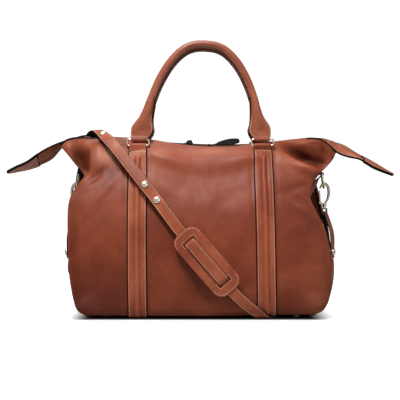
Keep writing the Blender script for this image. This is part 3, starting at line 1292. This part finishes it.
def build_studs():
    """Copy of the CAD studs with one of them moved onto the strap's path."""
    source = NODES["strap_studs"]
    mesh = source.data.copy()
    studs = link_mesh("strap_stud_set", mesh)
    old, new = curve_at(CAD_STUD_PATH, CAD_STUD_AT), curve_at(STRAP_PATH, STUD_AT)
    turn = Vector(old[3:]).rotation_difference(Vector(new[3:]))
    to_world = source.matrix_world.copy()
    for vertex in mesh.vertices:
        place = to_world @ vertex.co
        offset = place * 1000 - Vector(old[:3])
        if offset.length < STUD_REACH:
            place = (Vector(new[:3]) + turn @ offset) / 1000
        vertex.co = place
    mesh.materials.clear()
    mesh.materials.append(BRASS)
    stand_for(studs, "strap_studs")


def build_strap():
    rows = curve_at(STRAP_PATH, np.linspace(0, 31, 560))
    run = arc_length(rows[:, :3])
    even = np.linspace(0, run[-1], 640)
    path = read_path(even, run, rows[:, :3])
    normals = unit(read_path(even, run, unit(rows[:, 3:])))
    ob = sweep("shoulder_strap_run", path, normals, strap_profile(STRAP_WIDTH, STRAP_THICK),
               STRAP_SIDES)
    stand_for(ob, "shoulder_strap")
    build_studs()
    sew("strap_stitching",
        edge_lines(path, normals, STRAP_WIDTH / 2 - SEAM_INSET, STRAP_THICK * 0.36))


def turned_on_swivel(points, side, centre):
    """The right strap end has turned about its swivel."""
    if side < 0:
        return points
    x, y = turn_by(
        points[..., 0] - centre, points[..., 1], math.cos(SWIVEL_TURN), math.sin(SWIVEL_TURN))
    return stack(centre + x, y, points[..., 2])


def build_strap_end(side, side_name):
    fold = curve_at(STRAP_TAIL, np.linspace(0.0, 16, 130))
    path = stack(side * fold[:, 0], 0.0, fold[:, 1])
    # its outer side faces the bag on the way up and away from it on the way down
    normals = path_normals(path, (0.0, 1, 0), 8, (-side, 0, 0))
    path = turned_on_swivel(path, side, SWIVEL_X)
    normals = turned_on_swivel(normals, side, 0.0)
    ob = sweep(
        "strap_end_" + side_name, path, normals, strap_profile(TAIL_WIDTH, 2.2), STRAP_SIDES)
    stand_for(ob, side_name + "_strap_tail")
    sew("strap_end_stitching_" + side_name,
        edge_lines(path, normals, TAIL_WIDTH / 2 - SEAM_INSET, 0.8))


build_strap()
for side, side_name in SIDES:
    build_strap_end(side, side_name)

# ------------------------------------------------------------------ shoulder pad
PAD_LENGTH, PAD_WIDTH, PAD_THICK = 146.0, 58.0, 5.0
PAD_SLOT = 50.0  # distance of the slots from the pad's middle
PAD_START, PAD_END = (curve_at(STRAP_PATH, station)[:3] for station in (17.0, 19.0))
PAD_CENTRE = mix(PAD_START, PAD_END, 0.5)
PAD_ALONG = unit(PAD_END - PAD_START)
PAD_UP = np.array([0, -1, 0.055])
PAD_UP = unit(PAD_UP - PAD_ALONG * np.dot(PAD_UP, PAD_ALONG))
PAD_ACROSS = np.cross(PAD_UP, PAD_ALONG)
# The strap over the pad, dipping into its slots: part of the run, along the pad, up.
PAD_RUN = [
    (0, -51.8, -0.4), (0.04, -50.6, 2.6), (0.09, -47.6, 5.6), (0.15, -42, 6.9), (0.3, -24, 7.3),
    (0.5, 0, 7.4), (0.7, 24, 7.3), (0.85, 42, 6.9), (0.91, 47.6, 5.6), (0.96, 50.6, 2.6),
    (1, 51.8, -0.4)]


def place_pad(points):
    """From the pad's own frame onto the strap, bowed a little over the belly of the bag."""
    x, y, z = np.moveaxis(np.asarray(points, float), -1, 0)
    height = z + 4.1 + (-0.0011 * x ** 2 + 1.6 - 0.0022 * y ** 2)
    return (PAD_CENTRE + x[..., None] * PAD_ALONG + y[..., None] * PAD_ACROSS
            + height[..., None] * PAD_UP)


def rounded(length, width, radius, count=16):
    """Rounded rectangle, count points to a corner."""
    points = []
    for sx, sy, start in ((1, -1, -90), (1, 1, 0), (-1, 1, 90), (-1, -1, 180)):
        for k in range(count):
            angle = math.radians(start + 90 * k / (count - 1))
            points.append((sx * (length / 2 - radius) + radius * math.cos(angle),
                           sy * (width / 2 - radius) + radius * math.sin(angle)))
    return np.array(points)


def slot_loop(x, width, half_height):
    corner = 5
    loop = rounded(width, 2 * half_height, 2.0, corner)
    return np.roll(loop, -corner, axis=0) + (x, 0)


def plate(name, outline, holes, bottom, top, round_by, materials, place, cell=6.0):
    """A leather plate with rounded edges, its faces cut into small cells so that it can bow."""
    curve = bpy.data.curves.new(name + "_c", "CURVE")
    curve.dimensions = "2D"
    curve.fill_mode = "BOTH"
    for loop in [outline] + holes:
        spline = curve.splines.new("POLY")
        spline.points.add(len(loop) - 1)
        for point, (x, y) in zip(spline.points, loop):
            point.co = (x, y, 0, 1)
        spline.use_cyclic_u = True
    curve.extrude = (top - bottom) / 2 - round_by
    curve.bevel_depth = round_by
    curve.bevel_resolution = 2
    curve.offset = -round_by
    source = link_mesh(name + "_t", curve)
    depsgraph = bpy.context.evaluated_depsgraph_get()
    mesh = bpy.data.meshes.new_from_object(source.evaluated_get(depsgraph))
    bpy.data.objects.remove(source)
    work = bmesh.new()
    work.from_mesh(mesh)
    bmesh.ops.remove_doubles(work, verts=work.verts, dist=0.001)
    # the cuts are shifted a little, to miss the outline's own points
    for axis, shift in ((0, 0.37), (1, 0.41)):
        low, high = outline[:, axis].min(), outline[:, axis].max()
        for at in np.arange(math.floor(low / cell) * cell, high, cell):
            place_at, normal = [0, 0, 0], [0, 0, 0]
            place_at[axis], normal[axis] = at + shift, 1
            bmesh.ops.bisect_plane(
                work, geom=work.verts[:] + work.edges[:] + work.faces[:], plane_co=place_at,
                plane_no=normal, dist=1e-4)
    bmesh.ops.remove_doubles(work, verts=work.verts, dist=0.001)
    bmesh.ops.recalc_face_normals(work, faces=work.faces)
    for face in work.faces:
        face.smooth = True
        face.material_index = 1 if abs(face.normal.z) < 0.75 else (2 if face.normal.z < 0 else 0)
    points = np.array([vertex.co[:] for vertex in work.verts])
    points[:, 2] += (bottom + top) / 2
    for vertex, point in zip(work.verts, place(points) * MM):
        vertex.co = Vector(point)
    bmesh.ops.recalc_face_normals(work, faces=work.faces)
    work.to_mesh(mesh)
    work.free()
    mesh.materials.clear()
    for material in materials:
        mesh.materials.append(material)
    mesh.name = name
    return link_mesh(name, mesh)


def pad_line(loop):
    loop = np.concatenate([loop, loop[:1]])
    path = place_pad(stack(loop[:, 0], loop[:, 1], PAD_THICK - 0.05))
    return path, np.tile(PAD_UP, (len(loop), 1))


def build_pad():
    slots = (-PAD_SLOT, PAD_SLOT)
    ob = plate(
        "pad_plate", rounded(PAD_LENGTH, PAD_WIDTH, 19.5),
        [slot_loop(x, 8.0, STRAP_WIDTH / 2 + 1.2) for x in slots], bottom=0.0, top=PAD_THICK,
        round_by=1.0, materials=STRAP_SIDES, place=place_pad)
    stand_for(ob, "shoulder_pad", "pad")
    loops = [rounded(PAD_LENGTH - 5.2, PAD_WIDTH - 5.2, 16.9)]
    loops += [slot_loop(x, 12.5, STRAP_WIDTH / 2 + 3.6) for x in slots]
    sew("pad_stitching", [pad_line(loop) for loop in loops], "pad")
    run = curve_at(PAD_RUN, np.linspace(0, 1, 90))
    path = place_pad(stack(run[:, 0], 0.0, run[:, 1]))
    slope = np.gradient(run, axis=0)
    flat = unit(stack(-slope[:, 1], slope[:, 0]))
    normals = flat[:, :1] * PAD_ALONG + flat[:, 1:] * PAD_UP
    ob = sweep("pad_strap", path, normals, strap_profile(STRAP_WIDTH, 2.6), STRAP_SIDES)
    stand_for(ob, "pad_strap_run", "pad")
    sew("pad_strap_stitching",
        edge_lines(path, normals, STRAP_WIDTH / 2 - SEAM_INSET, 0.95, slice(6, -6)), "pad")


build_pad()


# ------------------------------------------------------------------ end tabs that hold the D-rings
def end_reach(side, z):
    """How far the middle of an end panel stands out at a height."""
    v = (z - PANEL_BOTTOM) / (HEIGHT - PANEL_BOTTOM)
    return max(abs(end_panel(side, u, v)[0]) for u in (0.42, 0.5, 0.58))


def build_dring_tab(side, side_name):
    # part of the path, distance from the middle, z
    if side < 0:
        top = end_reach(side, 250)
        rise = [
            (0, end_reach(side, 206) + 2.0, 206.2), (0.12, end_reach(side, 216) + 2.0, 216.5),
            (0.24, end_reach(side, 227) + 2.0, 227), (0.38, end_reach(side, 239) + 2.2, 239),
            (0.55, max(top + 3.0, 226), 254), (0.68, max(top + 5.0, 234.5), 266.5)]
    else:
        rise = [
            (0, end_reach(side, 206) + 2.0, 203), (0.12, end_reach(side, 216) + 5.5, 214),
            (0.24, 213.5, 225), (0.38, 217.0, 237), (0.55, 225.0, 253), (0.68, 232.8, 266)]
    over_ring = [
        (0.78, 240.5, 274.9), (0.84, 244.6, 277.4), (0.89, 244.6, 280.2), (0.93, 242.2, 281.7),
        (0.97, 239.4, 280.4), (1.0, 237.2, 277.2)]
    part = np.linspace(0, 1, 60)
    loop = curve_at(rise + over_ring, part)
    path = stack(side * loop[:, 0], 0.0, loop[:, 1])
    normals = path_normals(path, (0.0, 1, 0), 10, (side, 0, 0))
    if side > 0:
        # the right tab is twisted towards the front
        twist = smooth_step(0.02, 0.25, part) * (1 - smooth_step(0.6, 0.78, part))
        twist = (math.radians(30) * twist)[:, None]
        normals = normals * np.cos(twist) + np.array([0.0, -1, 0]) * np.sin(twist)
    half = 8.5
    profile = [
        (-half, -0.6, 1), (-half, 0.6, 1), (-half + 0.5, 1.1, 0), (-half + 2.0, 0.9, 0),
        (-half + 3.2, 1.2, 0), (half - 3.2, 1.2, 0), (half - 2.0, 0.9, 0), (half - 0.5, 1.1, 1),
        (half, 0.6, 1), (half, -0.6, 1), (half - 0.5, -1.1, 2), (-half + 0.5, -1.1, 1)]
    ob = sweep("dring_loop_" + side_name, path, normals, profile,
               [TRIM_LEATHER, EDGE_PAINT, BLACK_LEATHER])
    stand_for(ob, side_name + "_dring_tab")
    sew("dring_loop_stitching_" + side_name,
        edge_lines(path, normals, half - 2.0, 0.85, slice(2, 40)),
        pitch=4.0, length=2.2, radius=0.45, sink=0.15)


for side, side_name in SIDES:
    build_dring_tab(side, side_name)

# ------------------------------------------------------------------ leather pulls
PULL_Z = 331.2 - TEETH_DROP + 6.2
PULL_ROLL = math.radians(62)


def build_pull(side_name, start_x, degrees, length, arch, droop, outline):
    """Pull that points along +X; outline is the distances from its start and the half widths."""
    body = "zip_pull_" + side_name
    cosine, sine = math.cos(math.radians(degrees)), math.sin(math.radians(degrees))
    roll_cosine, roll_sine = math.cos(PULL_ROLL), math.sin(PULL_ROLL)

    def place(points):
        along, y, z = np.asarray(points, float).T
        # flat at the link, then rolled onto its edge
        rolled = smooth_step(12.5, 18, along)
        out_y = mix(y, y * roll_cosine - z * roll_sine, rolled)
        out_z = mix(z, y * roll_sine + z * roll_cosine, rolled)
        out_z = out_z + arch * np.sin(np.clip((along - 13) / (length - 13), 0, 1) * math.pi)
        out_z = out_z - droop * np.clip(along - 11, 0, 99)
        return stack(start_x + along * cosine - out_z * sine, out_y,
                     PULL_Z + along * sine + out_z * cosine)

    def loop(xs, inset):
        half = np.interp(xs, *outline) - inset
        return np.concatenate([stack(xs, -half), stack(xs[::-1], half[::-1])])

    xs = np.concatenate([
        [11.2, 12.8, 13.5, 14.4, 16], np.linspace(16, length - 5, 14)[1:],
        [length - 3.2, length - 1.5, length - 0.5, length]])
    ob = plate(
        "pull_leather_" + side_name, loop(xs, 0.0), [], bottom=-1.6, top=1.6, round_by=0.5,
        materials=[BLACK_LEATHER, EDGE_PAINT, BLACK_LEATHER], place=place, cell=3.0)
    stand_for(ob, side_name + "_pull_tab", body)
    sewn = loop(np.linspace(17, length - 3.5, 24), 1.5)
    lines = []
    for z in (1.55, -1.55):
        path, above = (place(stack(sewn[:, 0], sewn[:, 1], k * z)) for k in (1, 2))
        lines.append((path, above - path))
    ob = stitches("pull_stitching_" + side_name, lines, BLACK_LEATHER, pitch=2.6, length=1.8,
                  radius=0.28)
    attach(ob, body)


build_pull("left", start_x=-40.0, degrees=24.0, length=25.0, arch=0.0, droop=0.30, outline=(
    [11.2, 12.4, 13.4, 24, 24.6, 25], [1.9, 2.4, 5.4, 5.6, 5.2, 4.4]))
build_pull("right", start_x=18.0, degrees=11.5, length=61.0, arch=0.6, droop=0.05, outline=(
    [11.2, 14.4, 16, 30, 42, 53, 59.5, 61], [1.9, 2.2, 3.0, 5.6, 6.8, 6.0, 4.2, 1.6]))

# ------------------------------------------------------------------ floor, lights, camera: metres
FLOOR_HALF = 5.0
FLOOR_BEND_Y, FLOOR_BEND = 2.4, 1.2  # where the floor turns up behind the bag, and its radius
SHADE_X, SHADE_Y = 0.212, 0.100  # half size of the dark patch under the bag


def floor_material():
    """Pale paper, lifted towards white where the camera sees it, but not right under the bag."""
    sh = Shader("floor_white")
    paper = sh.ramp(sh.noise(3.0, 3), [(0.3, 0.42), (0.7, 0.44)])
    place = sh.node("SeparateXYZ", {"Vector": sh.point})
    beyond_x, beyond_y = (
        sh.math("MAXIMUM", sh.math("SUBTRACT", sh.math("ABSOLUTE", place.outputs[axis]), half),
                0.0)
        for axis, half in (("X", SHADE_X), ("Y", SHADE_Y)))
    squares = sh.math("ADD", sh.math("POWER", beyond_x, 2.0), sh.math("POWER", beyond_y, 2.0))
    lift = sh.node("MapRange", {
        "From Min": 0.0, "From Max": 0.055, "To Min": 0.0, "To Max": 0.95,
        "Value": sh.math("SQRT", squares)}, interpolation_type="SMOOTHSTEP").outputs["Result"]
    seen = sh.node("LightPath").outputs["Is Camera Ray"]
    lit = sh.math("MAXIMUM", lift, sh.math("SUBTRACT", 1.0, seen))
    return sh.finish({
        "Base Color": sh.blend("MIX", lit, (0.012, 0.009, 0.008), paper),
        "Roughness": 0.7, "Specular IOR Level": 0.1, "Emission Color": (1, 1, 1, 1),
        "Emission Strength": sh.math("MULTIPLY", seen, lift)})


def build_floor():
    mesh = bpy.data.meshes.new("floor")
    bend = [(FLOOR_BEND_Y + FLOOR_BEND * math.sin(a), FLOOR_BEND - FLOOR_BEND * math.cos(a))
            for a in np.linspace(0.1, math.pi / 2, 12)]
    profile = [(-FLOOR_HALF, 0.0), (FLOOR_BEND_Y, 0.0), *bend,
               (FLOOR_BEND_Y + FLOOR_BEND, FLOOR_HALF)]
    points = [(x, y, z) for y, z in profile for x in (-FLOOR_HALF, 0.0, FLOOR_HALF)]
    faces = [(i * 3 + j, i * 3 + j + 1, (i + 1) * 3 + j + 1, (i + 1) * 3 + j)
             for i in range(len(profile) - 1) for j in range(2)]
    mesh.from_pydata(points, [], faces)
    for face in mesh.polygons:
        face.use_smooth = True
    floor = link_mesh("floor", mesh)
    mesh.materials.append(floor_material())


def area_light(name, location, size, energy):
    """Rectangular white light aimed at the middle of the bag."""
    light = bpy.data.lights.new(name, "AREA")
    light.shape = "RECTANGLE"
    light.size, light.size_y = size
    light.energy = energy
    light.color = (1, 1, 1)
    ob = link_mesh(name, light)
    ob.location = location
    aim = Vector((0, 0, 0.2)) - Vector(location)
    ob.rotation_euler = aim.to_track_quat("-Z", "Y").to_euler()


def build_world():
    """White to the camera, dimmer in reflections and dim as a light."""
    world = bpy.data.worlds.new("studio")
    bpy.context.scene.world = world
    world.use_nodes = True
    tree = world.node_tree
    rays = add_node(tree, "LightPath").outputs
    glossy = add_node(tree, "Math", {0: rays["Is Glossy Ray"], 1: 0.30}, operation="MULTIPLY")
    seen = add_node(
        tree, "Math", {0: rays["Is Camera Ray"], 1: glossy.outputs[0]}, operation="MAXIMUM")
    amount = add_node(
        tree, "MapRange", {"To Min": 0.13, "To Max": 1.0, "Value": seen.outputs[0]})
    fill_inputs(tree, tree.nodes["Background"], {
        "Color": (1, 1, 1, 1), "Strength": amount.outputs["Result"]})


def build_camera():
    camera_x = 0.012
    view_width = 0.76  # at the bag's front
    data = bpy.data.cameras.new("camera")
    data.sensor_width = 36.0
    data.lens = 108.9
    data.shift_x = -camera_x / view_width
    camera = link_mesh("camera", data)
    camera.location = (camera_x, -2.415, 0.227)
    camera.rotation_euler = (math.pi / 2, 0, 0)
    bpy.context.scene.camera = camera


build_floor()
area_light("key", location=(-0.45, -1.25, 2.35), size=(1.0, 0.6), energy=64)
area_light("fill", location=(1.5, -1.9, 0.9), size=(0.8, 1.0), energy=5)
area_light("top", location=(0.1, 0.6, 2.2), size=(1.4, 0.9), energy=14)
build_world()
build_camera()
bpy.context.scene.view_settings.view_transform = "Standard"
bpy.context.scene.view_settings.look = "None"
